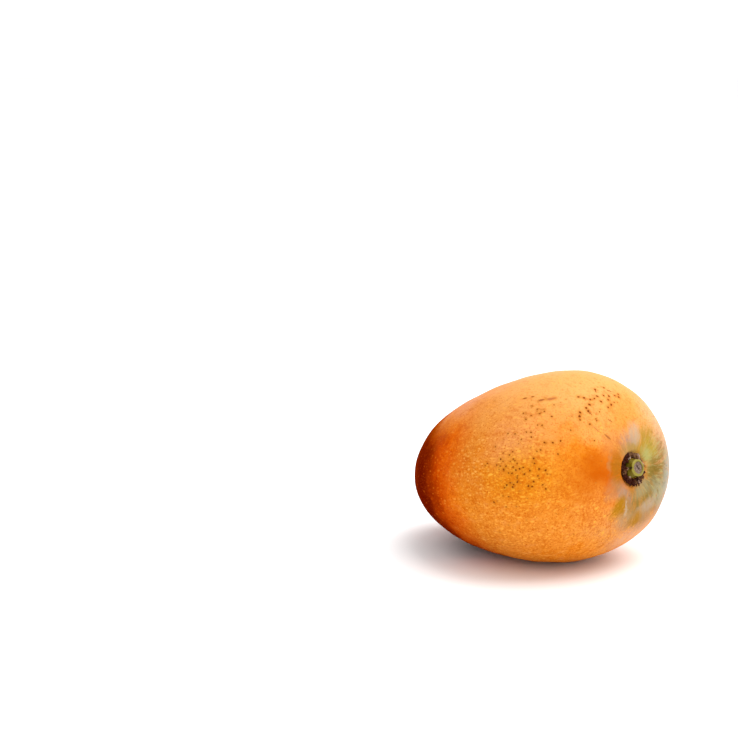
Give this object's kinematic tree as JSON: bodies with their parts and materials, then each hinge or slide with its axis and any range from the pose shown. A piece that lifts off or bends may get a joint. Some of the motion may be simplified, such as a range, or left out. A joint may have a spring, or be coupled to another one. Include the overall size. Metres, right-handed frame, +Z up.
{
  "type": "mango",
  "caption": "Whole ripe mango lying on its cheek, egg-shaped and orange, with a cut stem stub in a dried calyx ring.",
  "frame": {"origin": "on the surface that the fruit rests on, under the middle of its box", "axes": "+X along the fruit's length, towards the stem; +Y across its breadth; +Z up, through its cheeks"},
  "size_m": [0.1136, 0.093, 0.0788],
  "materials": {
    "skin": "ripe orange skin with pale pores, a green stem end and a soft waxy gloss",
    "stem": "olive green stem, cut across, with a grey dried face",
    "calyx": "dried dark brown crust, rough, with pale edges"
  },
  "bodies": {
    "root": {"fruit": "skin", "calyx_ring": "calyx", "stem_stub": "stem"}
  },
  "joints": []
}
